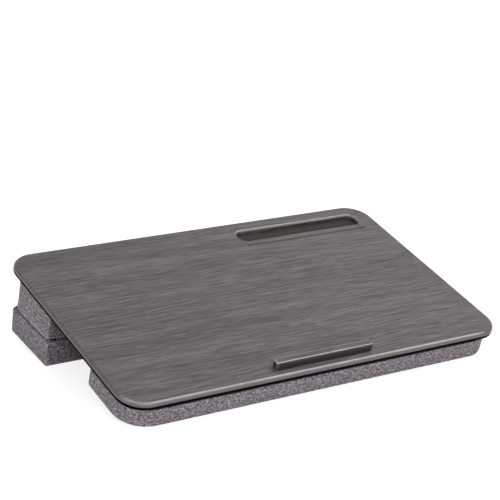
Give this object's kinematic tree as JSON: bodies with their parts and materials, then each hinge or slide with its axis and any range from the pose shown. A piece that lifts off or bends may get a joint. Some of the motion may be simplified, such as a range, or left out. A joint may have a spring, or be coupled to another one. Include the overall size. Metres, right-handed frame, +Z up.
{
  "type": "lap desk",
  "caption": "Padded lap desk with a wood-grain top, phone slot and device ledge on split cushions, and a booster cushion that folds out to tilt it.",
  "frame": {"origin": "on the surface it stands on, below the middle of its outline", "axes": "+X to the user's right along the board, +Y back towards the raised edge, +Z up"},
  "size_m": [0.5, 0.2988, 0.0981],
  "materials": {
    "wood_grain_board": "grey oak foil with a satin, slightly brushed grain",
    "wood_grain_ledge": "the same grey oak foil on a moulded bar",
    "heather_fabric": "heathered warm grey woven polyester with rolled seams",
    "lining_fabric": "black non-woven lining",
    "foam": "soft open-cell foam",
    "screw_steel": "zinc plated",
    "touch_fastener": "black hook or loop tape",
    "woven_tape": "grey woven tape, the tone of the covers"
  },
  "bodies": {
    "desk": {"top_board": "wood_grain_board", "device_ledge": "wood_grain_ledge", "ledge_screws": "screw_steel", "front_cushion_cover": "heather_fabric", "front_cushion_foam": "foam", "front_cushion_lining": "lining_fabric", "rear_cushion_cover": "heather_fabric", "rear_cushion_foam": "foam", "rear_cushion_lining": "lining_fabric", "rear_hook_strips": "touch_fastener", "bay_hook_strips": "touch_fastener", "fold_tape": "woven_tape"},
    "booster": {"booster_cover": "heather_fabric", "booster_foam": "foam", "booster_lining": "lining_fabric", "booster_loop_strips": "touch_fastener"}
  },
  "joints": [
    {"name": "booster_fold", "type": "hinge", "parent": "desk", "child": "booster", "pos_m": [0, 0.04452, 0.03233], "axis": [-1, 0, 0], "range_deg": [0, 172.5]}
  ]
}
